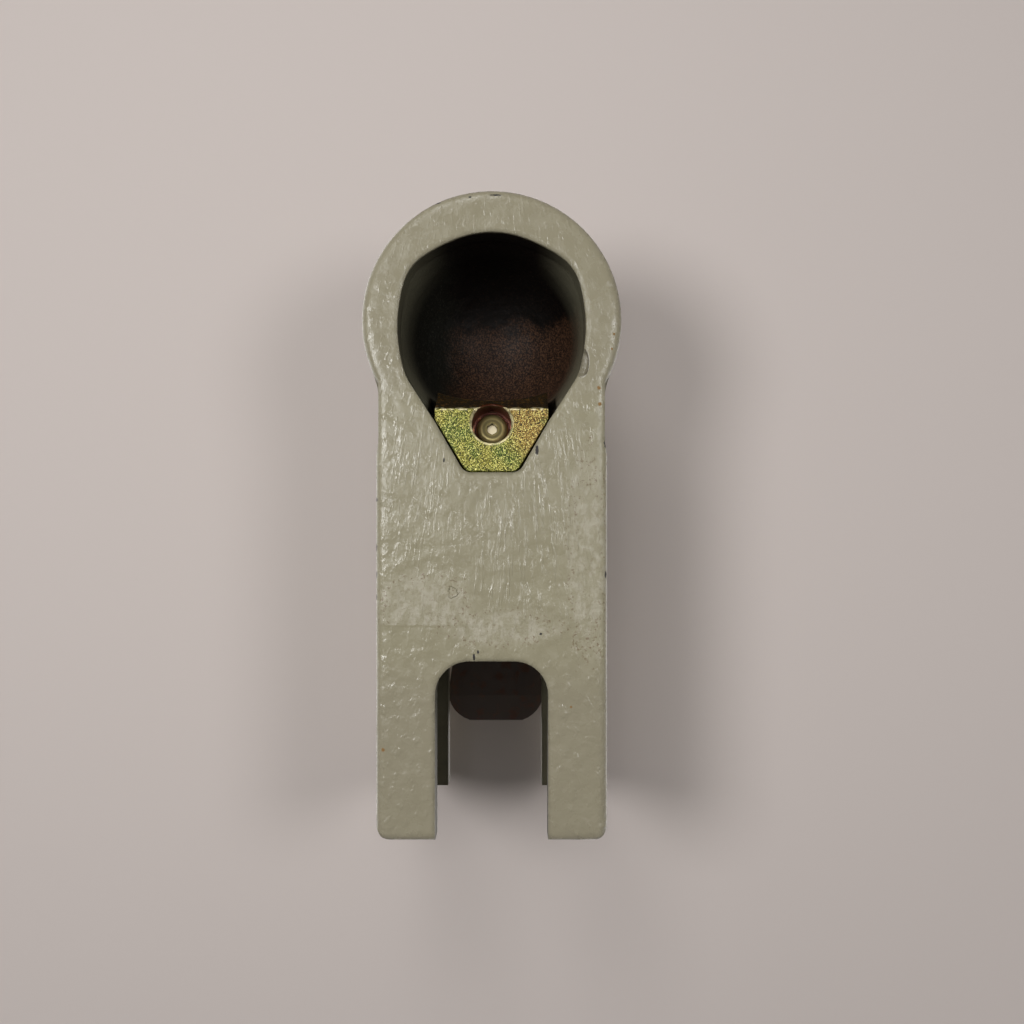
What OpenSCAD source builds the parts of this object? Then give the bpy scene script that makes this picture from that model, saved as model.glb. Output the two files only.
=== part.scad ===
// Cast coupling head for a trailer drawbar: ball cup in front, sliding keeper behind the
// ball, drawbar socket at the back, lever on top. Millimetres, +X forward, +Z up.
// The origin is the centre of the towing ball.

/* [Ball cup] */

// diameter of the towing ball
ball_d = 50; // [48:0.1:52]
// clearance of the cup around the ball
cup_gap = 0.7; // [0.2:0.1:1]
// how far the round head stands out past the ball at its rim
head_wall = 12.1; // [10:0.1:16]
// how far the outer head circle sits in front of the ball centre
head_shift = 1.8; // [0:0.1:5]
// depth of the flat bottom face below the ball centre
rim_drop = 21; // [18:0.5:26]
// radius of the hollow where the head runs into the neck
throat_r = 22; // [10:1:30]
// radius rolled onto the bottom edges
rim_round = 2.4; // [1:0.1:4]
// gap between the ball and the flat sides of the squarish mouth
mouth_gap = 1.8; // [1:0.1:3]
// how far the mouth's four soft corners stand out
mouth_bulge = 1.55; // [0:0.05:2]
// gap beside the keeper's widest place, where the mouth's sides run down to it
mouth_side_gap = 0.8; // [0.6:0.1:2]

/* [Body] */

// half-width of the neck and the drawbar socket
body_half = 32.95; // [31:0.05:36]
// height of the roof of the drawbar socket above the ball centre
box_top = 49; // [44:0.5:56]
// how much narrower the neck is on each side than the socket
neck_step = 0.7; // [0:0.1:1.5]
// end of the narrow neck, behind the ball
neck_end = 33; // [28:0.5:40]
// height of the neck above the ball centre
neck_top = 26; // [20:0.5:30]
// front edge of the socket roof, behind the lever's pin bosses
roof_behind = 13.5; // [12:0.1:20]
// corner radius of the legs in plan
leg_corner = 5; // [2:0.5:8]

/* [Drawbar socket] */

// side of the square drawbar hole
bar_side = 50.6; // [50:0.1:52]
// front end of the drawbar hole, behind the front edge of the socket roof
bar_behind = 4; // [3:0.5:8]
// length of the drawbar hole
bar_len = 58.4; // [50:0.1:80]
// half-width of the open slot in floor and roof
slot_half = 16.1; // [12:0.1:18]
// front end of the open slot, behind the front end of the drawbar hole
slot_behind = 7.2; // [5:0.1:20]
// corner radius of the open slot
slot_corner = 9.7; // [4:0.1:12]
// diameter of the cross bolt holes
bolt_hole_d = 13; // [10.5:0.5:15]
// distance between the cross bolt holes
bolt_pitch = 35; // [30:1:40]
// last cross bolt hole, ahead of the ends of the legs
bolt_ahead = 12.9; // [10:0.1:20]

/* [Keeper] */

// angle of the keeper's travel from upright
lean = 35; // [32:1:40]
// travel of the keeper
keeper_lift = 10; // [8:0.5:11]
// how far the keeper's front edge reaches under the ball
keeper_under = 1.5; // [0.5:0.1:4]
// half-width of the keeper where its sloped sides would meet its front edge
keeper_half = 17.6; // [16.5:0.1:19]
// half-width of the keeper's bottom face at its rear
keeper_tail_half = 7.2; // [6:0.1:10]
// length of the keeper's bottom face
keeper_len = 17.3; // [14:0.1:20]
// largest half-width of the keeper, at its horns
keeper_max_half = 16.1; // [15:0.1:17]
// largest half-width of the pocket, where it meets the mouth
pocket_half = 18.8; // [17:0.1:20]
// gap between the keeper and its pocket
keeper_gap = 0.6; // [0.3:0.1:1.2]
// corner radius at the keeper's rear
keeper_corner = 3; // [1:0.5:4]
// height of the keeper's seat along its travel
keeper_seat = 24; // [22:0.5:26]
// how far the keeper's bottom face sits inside the rim
keeper_inset = 0.4; // [0:0.1:1]

/* [Keeper screw] */

// diameter of the counterbore in the keeper
bore_d = 11.3; // [10:0.1:13]
// centre of the counterbore, behind the keeper's front edge
bore_behind = 4; // [3:0.1:7]
// lean of the counterbore from upright
bore_lean = 7; // [0:1:8]
// depth of the counterbore
bore_depth = 11.3; // [10:0.1:13]
// thread diameter of the keeper screw
screw_d = 5; // [4:1:6]
// length of the keeper screw under its head
screw_len = 13; // [10:1:16]

/* [Draw rod and spring] */

// diameter of the draw rod
rod_d = 12; // [10:0.5:14]
// the rod's offset ahead of the keeper's front edge, across its travel
rod_ahead = 1; // [0:0.5:3]
// diameter of the rod's collar
collar_d = 17.6; // [16:0.1:19]
// thickness of the rod's collar
collar_t = 4.5; // [3:0.5:6]
// length of the bush inside the tower
bush_len = 6; // [4:0.5:8]
// diameter of the spring chamber
chamber_d = 19; // [18:0.1:21]
// distance of the lift pin above the tower's top, along the travel
pin_over_tower = 11; // [10.5:0.5:14]
// outer radius of the tower
tower_r = 15; // [14:0.5:17]
// wire diameter of the spring
wire_d = 2.1; // [1.5:0.1:2.5]
// outer diameter of the spring
spring_d = 17.2; // [16:0.1:18]
// turns of the spring
spring_turns = 6.5; // [5:0.5:8]
// thickness of the flat at the rod's top
tongue_t = 8; // [6:0.5:10]
// diameter of the lift pin
lift_pin_d = 6; // [5:0.5:8]

/* [Lever] */

// height of the pivot above the roof of the socket
pivot_over_roof = 1.7; // [0:0.1:6]
// distance of the pivot ahead of the rod's axis
pivot_ahead = 14; // [12:0.5:16]
// diameter of the pivot pin
pivot_d = 8; // [7:0.5:10]
// thickness of each lever arm
arm_t = 4.2; // [3:0.1:5]
// inside gap between the ears
ear_gap = 18.4; // [18:0.1:21]
// thickness of each ear
ear_t = 6; // [5:0.5:8]
// radius of the ears around the pivot
ear_r = 8.2; // [7:0.1:10]
// radius of the lever around the pivot
hub_r = 7.6; // [6:0.1:9]
// how far the lever ends ahead of the ends of the legs
lever_ahead = 17.4; // [8:0.1:30]
// width of the lever's grip
grip_w = 34; // [26:1:38]
// length of the lever's grip
grip_len = 21; // [16:1:30]
// width of the lever between its arms and its grip
waist_w = 23; // [18:1:28]
// thickness of the lever at its waist
lever_t = 5; // [4:0.5:8]
// rise of the lever's tip
tip_rise = 9; // [4:0.5:14]
// gap between the lever and the roof of the socket
lever_gap = 3; // [2:0.5:6]

/* [Fits] */

// clearance all round a running pin or shaft
run_gap = 0.05; // [0.02:0.01:0.1]
// clearance of the lift pin in the lever's slots
slot_gap = 0.2; // [0.1:0.05:0.4]

/* [Hidden] */

$fn = 64;
e = 0.01;
cup_r = ball_d / 2 + cup_gap;
head_r = ball_d / 2 + head_wall;
mouth_half = ball_d / 2 + mouth_gap;
keeper_front = ball_d / 2 - keeper_under;
bore_back = keeper_front + bore_behind;
rim_z = -rim_drop;
neck_chamfer = 9;
shoulder_len = 14;
through = 20;
tower_start = 34;
ear_toe = 25;
ear_root = 16;
keeper_nose = 10;
keeper_horn = 14;
horn_height = 18;
keeper_foot = 16;
keeper_slope = (keeper_half - keeper_tail_half) / keeper_len;
keeper_shoulder = (keeper_half - keeper_max_half) / keeper_slope;
ball_play = 0.2;
contact_angle = 35.65;
spigot_len = 6;
spigot_gap = 0.1;
centre_r = 1;
centre_depth = 2;
pin_end_gap = 0.4;
rod_over_pin = 7;
pin_head_r = pivot_d / 2 + 2.2;
pin_head_t = 2.6;
pin_tail = 2;
bar_half = bar_side / 2;
bar_mid = (box_top + rim_z) / 2;
mid_height = (box_top + pivot_over_roof - rim_z - (rod_ahead + pivot_ahead) * sin(lean)) / cos(lean);
pin_height = mid_height - keeper_lift / 2;
tower_top = pin_height - pin_over_tower;
chamber_top = tower_top - bush_len;
rod_r = rod_d / 2;
collar_top = keeper_seat + collar_t;
bush_r = 8;
bush_flange_r = 9.5;
bush_flange_t = 1.5;
flat_start = tower_top + bush_flange_t + 0.5;
tongue_top = pin_height + rod_over_pin;
arm_in = tongue_t / 2 + 0.6;
arm_out = arm_in + arm_t;
ear_in = ear_gap / 2;
ear_out = ear_in + ear_t;
pin_boss_r = 6.5;
washer_t = 1.6;
clip_t = 1.2;
clip_groove_r = pivot_d / 2 - 0.4;
screw_head_d = 1.9 * screw_d;
screw_head_h = 0.55 * screw_d;
screw_flat_r = 0.62 * screw_head_d / 2;
screw_edge = 0.25;
screw_point = 0.6;
hex_key = 0.6 * screw_d;
hex_depth = 0.6 * screw_head_h;

// point in the side view from v across the travel and u along it
function from_lean(v, u) = [
    -keeper_front + v * cos(lean) - u * sin(lean),
    rim_z + v * sin(lean) + u * cos(lean)];

pivot = from_lean(rod_ahead + pivot_ahead, mid_height);
lift_rest = from_lean(rod_ahead, pin_height);
box_front = -lift_rest.x + pin_boss_r + roof_behind;
bar_front = box_front + bar_behind;
body_rear = bar_front + bar_len;
slot_front = bar_front + slot_behind;
bolt_last = body_rear - bolt_ahead;
lever_end = body_rear - lever_ahead;
slot_near = pivot_ahead;
slot_far = norm(pivot - lift_rest);

// points of an arc, both ends included
function arc(cx, cy, r, a0, a1, n) =
    [for (i = [0:n]) [cx + r * cos(a0 + (a1 - a0) * i / n), cy + r * sin(a0 + (a1 - a0) * i / n)]];

// corners of the band that is tangent to two discs in the plane
function band(a, ra, b, rb) =
    let (d = norm(b - a), t = atan2(b.y - a.y, b.x - a.x), w = acos((ra - rb) / d))
    [a + ra * [cos(t + w), sin(t + w)], b + rb * [cos(t + w), sin(t + w)],
     b + rb * [cos(t - w), sin(t - w)], a + ra * [cos(t - w), sin(t - w)]];

// frame of the keeper's travel: X across it, Z along it
module leaning() {
    translate([-keeper_front, 0, rim_z])
        rotate([0, -lean, 0])
            children();
}

// frame of the draw rod
module on_rod(height = 0) {
    leaning()
        translate([rod_ahead, 0, height])
            children();
}

// frame of the counterbore in the keeper
module on_bore() {
    translate([-bore_back, 0, rim_z])
        rotate([0, -bore_lean, 0])
            children();
}

// side profile in X and Z, carried across from y0 to y1
module side(y0, y1) {
    translate([0, y1, 0])
        rotate([90, 0, 0])
            linear_extrude(y1 - y0)
                children();
}

// round bar across the body
module cross(p, r, y0, y1) {
    translate([p.x, y0, p.y])
        rotate([-90, 0, 0])
            cylinder(r = r, h = y1 - y0);
}

// rectangle with its lower left corner at a point and all corners round
module round_rect(x, y, w, h, r) {
    translate([x + r, y])
        square([w - 2 * r, h]);
    translate([x, y + r])
        square([w, h - 2 * r]);
    for (cx = [x + r, x + w - r], cy = [y + r, y + h - r])
        translate([cx, cy])
            circle(r);
}

// round head with a rolled rim and a domed top
module head_form() {
    translate([head_shift, 0, 0]) {
        rotate_extrude() {
            polygon([[0, rim_z], [head_r - rim_round, rim_z], [head_r, rim_z + rim_round],
                [head_r - 0.2, 0], [0, 0]]);
            intersection() {
                translate([head_r - rim_round, rim_z + rim_round])
                    circle(rim_round);
                translate([head_r - rim_round, rim_z])
                    square(rim_round);
            }
        }
        difference() {
            sphere(head_r - 0.2);
            translate([0, 0, -head_r])
                cube([3 * head_r, 3 * head_r, 2 * head_r], center = true);
        }
    }
}

// long body: neck in front, drawbar socket behind, every edge rolled
module body_form() {
    intersection() {
        translate([-body_rear, 0, 0])
            rotate([90, 0, 90])
                linear_extrude(body_rear)
                    round_rect(-body_half, rim_z, 2 * body_half, box_top - rim_z, rim_round);
        side(-2 * body_half, 2 * body_half)
            body_side();
        translate([0, 0, rim_z - 1])
            linear_extrude(box_top - rim_z + 2)
                body_plan();
    }
}

// plan outline of the body: narrow neck, round outer corners on the legs
module body_plan() {
    r = leg_corner;
    narrow = body_half - neck_step;
    polygon(concat(
        [[0, narrow], [-neck_end, narrow], [-neck_end - 5 * neck_step - e, body_half]],
        arc(-body_rear + r, body_half - r, r, 90, 180, 8),
        arc(-body_rear + r, -body_half + r, r, 180, 270, 8),
        [[-neck_end - 5 * neck_step - e, -body_half], [-neck_end, -narrow], [0, -narrow]]));
}

// side outline of the body: low neck, sloped shoulder, high socket
module body_side() {
    difference() {
        round_rect(-body_rear, rim_z, body_rear + 4, box_top - rim_z, rim_round);
        polygon([[-box_front, box_top + 1], [-box_front, box_top],
            [-box_front + 0.3 * shoulder_len, box_top - 3],
            [-box_front + 0.65 * shoulder_len, neck_top + 5],
            [-box_front + shoulder_len, neck_top], [10, neck_top], [10, box_top + 1]]);
    }
}

// hollow curves where the round head runs into the straight neck
module throat_form() {
    half = body_half - neck_step;
    far = sqrt(pow(head_r + throat_r, 2) - pow(half + throat_r, 2));
    turn = atan2(half + throat_r, far);
    for (s = [0, 1])
        mirror([0, s, 0])
            translate([head_shift - far, half + throat_r, rim_z + rim_round])
                linear_extrude(-rim_z - rim_round)
                    polygon(concat(
                        arc(0, 0, throat_r, -90, -90 + (90 - turn) + e, 6),
                        [[far / 2, -throat_r - 8], [0, -throat_r - 8]]));
}

// sloped planes along the neck's upper edges, running out at the shoulder
module neck_slopes() {
    run_out = box_front - through;
    high = 40;
    for (s = [0, 1])
        mirror([0, s, 0])
            translate([0, body_half - neck_chamfer / 2, neck_top - neck_chamfer / 2])
                rotate([-45, 0, 0])
                    side(-20, 20)
                        polygon([[60, 0], [-run_out, 0], [-run_out - 0.86 * high, high], [60, high]]);
}

// leaning tower around the spring, with an ear on each side of its top
module tower_form() {
    on_rod(tower_start)
        cylinder(r = tower_r, h = tower_top - tower_start);
    for (s = [-1, 1])
        ear(s > 0 ? ear_in : -ear_out);
}

// one ear: a rib from the dome up to the pivot and down to the neck
module ear(y) {
    toe = [-ear_toe, neck_top];
    heel = [-box_front + 7, neck_top];
    side(y, y + ear_t) {
        translate(pivot)
            circle(ear_r);
        polygon(band(toe, 0.5, pivot, ear_r));
        polygon(band(pivot, ear_r, heel, 0.5));
        polygon([toe, pivot, heel, heel - [0, ear_root], toe - [0, ear_root]]);
    }
}

// mouth of the cup in plan: a circle that stands out at four soft corners, with
// straight sides from its rear corners to the keeper
module mouth_plan() {
    n = 96;
    corner_at = 36;
    corner_spread = 17;
    rear = (mouth_half + mouth_bulge) * [-sin(corner_at), cos(corner_at)];
    near = [-keeper_front - keeper_shoulder, keeper_max_half + mouth_side_gap];
    polygon([for (i = [0:n - 1])
        let (a = 360 * i / n, off = abs(asin(cos(a))) - corner_at,
            r = mouth_half + mouth_bulge * exp(-pow(off / corner_spread, 2)))
        r * [cos(a), sin(a)]]);
    polygon([[0, 0], rear, near, [near.x, -near.y], [rear.x, -rear.y]]);
}

// hollow of the cup: sphere above, squarish mouth below, a slow taper between
module cup_hollow() {
    taper = 11;
    sphere(cup_r);
    translate([0, 0, rim_z - 1])
        linear_extrude(rim_drop + 1 - taper)
            mouth_plan();
    translate([0, 0, -taper - e])
        cylinder(r1 = mouth_half + mouth_bulge - 0.2, r2 = cup_r - 0.1, h = taper + 1);
}

// keeper outline across its travel: a trapezoid with a rounded tail
module keeper_plan(v_front, widest, grow = 0) {
    k = keeper_slope / cos(lean);
    tail = -keeper_len * cos(lean) - grow;
    tail_half = keeper_tail_half + grow;
    wide = widest + grow;
    v_wide = (widest - keeper_half) / k;
    r = keeper_corner + grow;
    turn = 90 - atan(k);
    set = r * tan(turn / 2);
    polygon(concat(
        arc(tail + r, tail_half - set, r, 180, 180 - turn, 6),
        [[v_wide, wide], [v_front, wide], [v_front, -wide], [v_wide, -wide]],
        arc(tail + r, -tail_half + set, r, 180 + turn, 180, 6)));
}

// pocket swept by the keeper from its rest to its highest place
module keeper_pocket() {
    leaning() {
        pocket_level(keeper_nose, keeper_seat);
        pocket_level(keeper_horn, horn_height);
    }
}

// one level of the pocket: how far it reaches in front, and its height at rest
module pocket_level(front, height) {
    translate([0, 0, -through])
        linear_extrude(through + height + keeper_lift + keeper_gap)
            keeper_plan(front + keeper_gap, pocket_half - keeper_gap, keeper_gap);
}

// bores for the spring, the bush and the draw rod
module tower_bores() {
    on_rod(keeper_seat - 1)
        cylinder(d = chamber_d, h = chamber_top - keeper_seat + 1);
    on_rod(chamber_top - 1)
        cylinder(r = bush_r, h = through);
}

// square hole for the drawbar, open at the rear
module bar_hollow() {
    translate([-body_rear - 1, 0, 0])
        rotate([90, 0, 90])
            linear_extrude(body_rear + 1 - bar_front)
                round_rect(-bar_half, bar_mid - bar_half, bar_side, bar_side, 3);
}

// open slot through floor and roof
module leg_slot() {
    r = slot_corner;
    translate([0, 0, rim_z - 5])
        linear_extrude(box_top - rim_z + 10) {
            translate([-body_rear - 5, -slot_half])
                square([body_rear + 5 - slot_front - r, 2 * slot_half]);
            translate([-slot_front - r - 1, -slot_half + r])
                square([r + 1, 2 * (slot_half - r)]);
            for (s = [-1, 1])
                translate([-slot_front - r, s * (slot_half - r)])
                    circle(r);
        }
}

module housing() {
    color([0.6, 0.58, 0.49])
        difference() {
            union() {
                head_form();
                difference() {
                    body_form();
                    neck_slopes();
                }
                throat_form();
                tower_form();
            }
            cup_hollow();
            keeper_pocket();
            tower_bores();
            bar_hollow();
            leg_slot();
            for (i = [0, 1])
                cross([-bolt_last + i * bolt_pitch, bar_mid], bolt_hole_d / 2, -50, 50);
            cross(pivot, pivot_d / 2 + run_gap, -30, 30);
        }
}

// keeper: flat bottom, ball face, lead-in slope, counterbore for its screw
module keeper() {
    contact = -(ball_d / 2 + ball_play) * [cos(contact_angle), sin(contact_angle)];
    edge = [-keeper_front, rim_z + keeper_inset];
    slope = (contact.x - edge.x) / (contact.y - edge.y);
    color([0.56, 0.57, 0.35])
        difference() {
            leaning()
                union() {
                    translate([0, 0, -keeper_foot])
                        linear_extrude(keeper_foot + keeper_seat)
                            keeper_plan(keeper_nose, keeper_max_half);
                    translate([0, 0, -keeper_foot])
                        linear_extrude(keeper_foot + horn_height)
                            keeper_plan(keeper_horn, keeper_max_half);
                }
            sphere(ball_d / 2 + ball_play);
            translate([-80, -40, rim_z - 30])
                cube([90, 80, 30 + keeper_inset]);
            side(-30, 30)
                polygon([edge + [-slope * 5, -5], edge + [slope * 24, 24], [20, 20], [20, -40]]);
            on_bore() {
                translate([0, 0, -3])
                    cylinder(d = bore_d, h = 3 + bore_depth);
                cylinder(d1 = bore_d + 2, d2 = bore_d, h = 1.2);
                cylinder(d = screw_d + 0.4, h = 40);
            }
            on_rod(keeper_seat - spigot_len)
                cylinder(r = rod_r + run_gap, h = 2 * spigot_len);
        }
}

// half section of a button head: flat top, round shoulder, thin edge
module button_half() {
    r = screw_head_d / 2;
    polygon(concat(
        [[0, 0], [0, -screw_head_h]],
        [for (i = [0:8]) let (a = 90 * i / 8)
            [screw_flat_r + (r - screw_flat_r) * sin(a),
                -screw_edge - (screw_head_h - screw_edge) * cos(a)]],
        [[r, 0]]));
}

// button-head screw with a hexagon socket
module keeper_screw() {
    color([0.3, 0.29, 0.28])
        on_bore()
            translate([0, 0, bore_depth])
                difference() {
                    union() {
                        rotate_extrude()
                            button_half();
                        translate([0, 0, -screw_edge])
                            cylinder(d = screw_d, h = screw_len + screw_edge - screw_point);
                        translate([0, 0, screw_len - screw_point - e])
                            cylinder(d1 = screw_d, d2 = screw_d - 2 * screw_point, h = screw_point);
                    }
                    translate([0, 0, -screw_head_h - 1])
                        cylinder(d = hex_key / cos(30), h = 1 + hex_depth, $fn = 6);
                }
}

// draw rod: spigot in the keeper, collar under the spring, flat top with a pin hole
module draw_rod() {
    color([0.42, 0.41, 0.4])
        difference() {
            on_rod() {
                difference() {
                    union() {
                        translate([0, 0, keeper_seat - spigot_len + spigot_gap])
                            cylinder(r = rod_r,
                                h = tongue_top - keeper_seat + spigot_len - spigot_gap);
                        translate([0, 0, keeper_seat])
                            cylinder(d = collar_d, h = collar_t);
                    }
                    for (s = [-1, 1])
                        translate([-10, s > 0 ? tongue_t / 2 : -10 - tongue_t / 2, flat_start])
                            cube([20, 10, 20]);
                    translate([0, 0, tongue_top])
                        difference() {
                            translate([-10, -10, -rod_r])
                                cube([20, 20, 10]);
                            translate([0, 10, -rod_r])
                                rotate([90, 0, 0])
                                    cylinder(r = rod_r, h = 20);
                        }
                }
            }
            cross(lift_rest, lift_pin_d / 2, -20, 20);
            on_bore()
                cylinder(d = screw_d, h = bore_depth + screw_len + 2);
        }
}

// plain pin through the rod's flat top, held between the ears
module lift_pin() {
    color([0.55, 0.54, 0.52])
        difference() {
            cross(lift_rest, lift_pin_d / 2, -ear_in + pin_end_gap, ear_in - pin_end_gap);
            cross(lift_rest, centre_r, -ear_in, -ear_in + pin_end_gap + centre_depth);
            cross(lift_rest, centre_r, ear_in - pin_end_gap - centre_depth, ear_in);
        }
}

// compression spring between the rod's collar and the chamber's ceiling, ends ground flat
module spring() {
    n = 8;
    turn_steps = 16;
    r = (spring_d - wire_d) / 2;
    low = collar_top + wire_d / 2;
    high = chamber_top - wire_d / 2;
    steps = round(spring_turns * turn_steps);
    function climb(t) = t < 0.12 ? t * 0.35
        : t > 0.88 ? 1 - (1 - t) * 0.35 : 0.042 + (t - 0.12) * 0.916 / 0.76;
    function ring(i) = let (t = i / steps, a = 360 * spring_turns * t, z = low + (high - low) * climb(t))
        [for (j = [0:n - 1]) let (b = 360 * j / n, q = r + wire_d / 2 * cos(b))
            [q * cos(a), q * sin(a), z + wire_d / 2 * sin(b)]];
    color([0.36, 0.35, 0.33])
        on_rod()
            polyhedron(
                points = [for (i = [0:steps]) each ring(i)],
                faces = concat(
                    [[for (j = [0:n - 1]) j]],
                    [for (i = [0:steps - 1], j = [0:n - 1])
                        [i * n + j, (i + 1) * n + j, (i + 1) * n + (j + 1) % n, i * n + (j + 1) % n]],
                    [[for (j = [n - 1:-1:0]) steps * n + j]]));
}

// flanged bush pressed into the tower, guides the draw rod
module guide_bush() {
    color([0.68, 0.55, 0.28])
        on_rod()
            difference() {
                union() {
                    translate([0, 0, chamber_top])
                        cylinder(r = bush_r, h = tower_top - chamber_top + e);
                    translate([0, 0, tower_top])
                        cylinder(r = bush_flange_r, h = bush_flange_t);
                }
                translate([0, 0, chamber_top - 1])
                    cylinder(r = rod_r + run_gap, h = 12);
            }
}

// lever seen from the side: flat over the socket roof, turned up at its end
module lever_side() {
    low = box_top + lever_gap;
    bend = -lever_end + grip_len + 4;
    knee = -lever_end + grip_len / 2;
    root = -box_front + 4;
    polygon([[pivot.x, low + lever_t * 0.3], [root, low], [bend, low + tip_rise * 0.1],
        [knee, low + tip_rise * 0.45], [-lever_end - 1, low + tip_rise],
        [-lever_end - 1, low + tip_rise + lever_t],
        [knee, low + tip_rise * 0.45 + lever_t * 1.2],
        [bend, low + tip_rise * 0.1 + lever_t * 1.3],
        [root, low + lever_t * 1.32], [pivot.x, pivot.y + hub_r]]);
}

// lever seen from above: narrow between the ears, wide at the grip
module lever_plan() {
    half = grip_w / 2;
    waist = waist_w / 2;
    neck = -box_front + 10;
    grip = -lever_end + grip_len;
    turn = grip_w / 3;
    polygon(concat(
        [[pivot.x + 2 * hub_r, arm_out], [neck, arm_out], [neck - 9, waist], [grip + 10, waist],
            [grip, half - turn / 8]],
        arc(-lever_end + turn, half - turn, turn, 90, 160, 6),
        arc(-lever_end + turn, -half + turn, turn, 200, 270, 6),
        [[grip, -half + turn / 8], [grip + 10, -waist], [neck - 9, -waist], [neck, -arm_out],
            [pivot.x + 2 * hub_r, -arm_out]]));
}

// lever arm outline: hub at the pivot, boss at the lift pin, web up to the lever
module arm_side() {
    low = box_top + lever_gap;
    translate(pivot)
        circle(hub_r);
    translate(lift_rest)
        circle(pin_boss_r);
    polygon(band(pivot, hub_r, lift_rest, pin_boss_r));
    polygon([pivot, lift_rest + [-pin_boss_r, -0.5], [-box_front + 10, low - 3],
        [-box_front - 2, low + 1], [-box_front, low + lever_t * 0.8],
        [pivot.x, pivot.y + hub_r / 2]]);
}

module lever() {
    a = atan2(lift_rest.y - pivot.y, lift_rest.x - pivot.x);
    color([0.36, 0.27, 0.22])
        difference() {
            union() {
                intersection() {
                    side(-30, 30)
                        lever_side();
                    translate([0, 0, 20])
                        linear_extrude(80)
                            lever_plan();
                }
                side(arm_in, arm_out)
                    arm_side();
                side(-arm_out, -arm_in)
                    arm_side();
            }
            cross(pivot, pivot_d / 2 + run_gap, -30, 30);
            translate([pivot.x, 0, pivot.y])
                rotate([0, -a, 0])
                    rotate([90, 0, 0])
                        linear_extrude(60, center = true) {
                            translate([slot_near, 0])
                                circle(lift_pin_d / 2 + slot_gap);
                            translate([slot_far, 0])
                                circle(lift_pin_d / 2 + slot_gap);
                            translate([slot_near, -lift_pin_d / 2 - slot_gap])
                                square([slot_far - slot_near, lift_pin_d + 2 * slot_gap]);
                        }
        }
}

// pivot pin with a flat head and a groove for its ring
module pivot_pin() {
    color([0.55, 0.54, 0.52])
        difference() {
            union() {
                cross(pivot, pivot_d / 2, -ear_out - washer_t - clip_t - pin_tail, ear_out + 1);
                cross(pivot, pin_head_r, ear_out, ear_out + pin_head_t);
            }
            difference() {
                cross(pivot, pivot_d, -ear_out - washer_t - clip_t, -ear_out - washer_t);
                cross(pivot, clip_groove_r, -ear_out - 10, -ear_out);
            }
        }
}

module pivot_washer() {
    color([0.6, 0.6, 0.58])
        difference() {
            cross(pivot, pivot_d, -ear_out - washer_t, -ear_out);
            cross(pivot, pivot_d / 2 + 0.2, -ear_out - 5, 0);
        }
}

// open retaining ring in the pin's groove
module pivot_ring() {
    y0 = -ear_out - washer_t - clip_t;
    color([0.25, 0.24, 0.23])
        difference() {
            cross(pivot, pivot_d / 2 + 2, y0 + 0.1, y0 + clip_t);
            cross(pivot, clip_groove_r, y0 - 1, 0);
            translate([pivot.x, y0 + 0.6, pivot.y + 5])
                cube([4.6, 4, 10], center = true);
        }
}

housing();
keeper();
keeper_screw();
draw_rod();
lift_pin();
spring();
guide_bush();
lever();
pivot_pin();
pivot_washer();
pivot_ring();
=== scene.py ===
# %% [markdown]
# # A cast coupling head, seen from below
#
# The object is the head of a trailer drawbar: a ball cup in front, a keeper that
# locks the ball, a neck, and an open-slotted socket for the drawbar. One iron
# casting carries nearly everything the eye sees, so most of this lesson is about
# what paint on rough iron looks like from a hand's length away.
#
# The solids come from the construction model and are complete. This script gives
# them their surfaces, and places a floor, a wall, the lamps and the camera.

# %% Load the solids
import math
from types import SimpleNamespace

import bpy
from mathutils import Matrix, Vector


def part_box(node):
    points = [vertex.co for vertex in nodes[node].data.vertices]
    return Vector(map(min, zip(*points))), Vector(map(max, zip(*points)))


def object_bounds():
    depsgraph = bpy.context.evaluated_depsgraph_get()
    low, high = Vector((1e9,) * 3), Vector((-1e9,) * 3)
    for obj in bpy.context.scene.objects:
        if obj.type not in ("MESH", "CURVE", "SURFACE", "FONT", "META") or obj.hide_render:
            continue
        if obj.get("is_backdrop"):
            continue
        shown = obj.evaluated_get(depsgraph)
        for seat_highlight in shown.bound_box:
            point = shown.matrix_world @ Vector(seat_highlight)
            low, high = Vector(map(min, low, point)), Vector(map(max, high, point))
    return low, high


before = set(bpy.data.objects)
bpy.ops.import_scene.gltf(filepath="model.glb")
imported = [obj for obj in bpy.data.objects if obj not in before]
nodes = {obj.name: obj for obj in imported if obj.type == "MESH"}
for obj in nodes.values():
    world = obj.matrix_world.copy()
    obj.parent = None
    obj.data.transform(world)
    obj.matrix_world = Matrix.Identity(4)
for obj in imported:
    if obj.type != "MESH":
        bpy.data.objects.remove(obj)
size_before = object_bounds()
print("pieces:", sorted(nodes))

# %% [markdown]
# Most places in this script follow from a few corners of the solids: the flat
# bottom face, the top of the lever, and the centre of the ball, which is the
# origin. They could be typed in as numbers, but reading them from the solids means
# that they stay right when a size in the construction model changes.

# %% Measure what is needed later
low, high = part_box("housing")
rim = low.z
lever_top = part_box("lever")[1].z
FACE = rim * 1000
print(f"bottom face at {FACE:.1f} mm, length {(high.x - low.x) * 1000:.1f} mm")

# %% [markdown]
# The photograph looks straight at the bottom face. At that face one pixel is
# 0.284 mm in the camera of this script, and the ball centre lies at one known
# pixel. With these two facts a mark seen in the photograph, such as a chip in the
# paint, can be placed in millimetres on the casting. Laying the photograph itself
# on the face would be quicker, but then its light would be baked into the paint.

# %% From a place in the photograph to a place on the bottom face
MM_PER_PIXEL = 0.2838
BALL_COLUMN, BALL_ROW = 491.6, 326.0
SLOT_COLUMN, SLOT_ROW = 491, 661


def on_face(column, row):
    """X and Y in millimetres of a pixel of the photograph, on the bottom face."""
    return (BALL_ROW - row) * MM_PER_PIXEL, (column - BALL_COLUMN) * MM_PER_PIXEL


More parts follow.
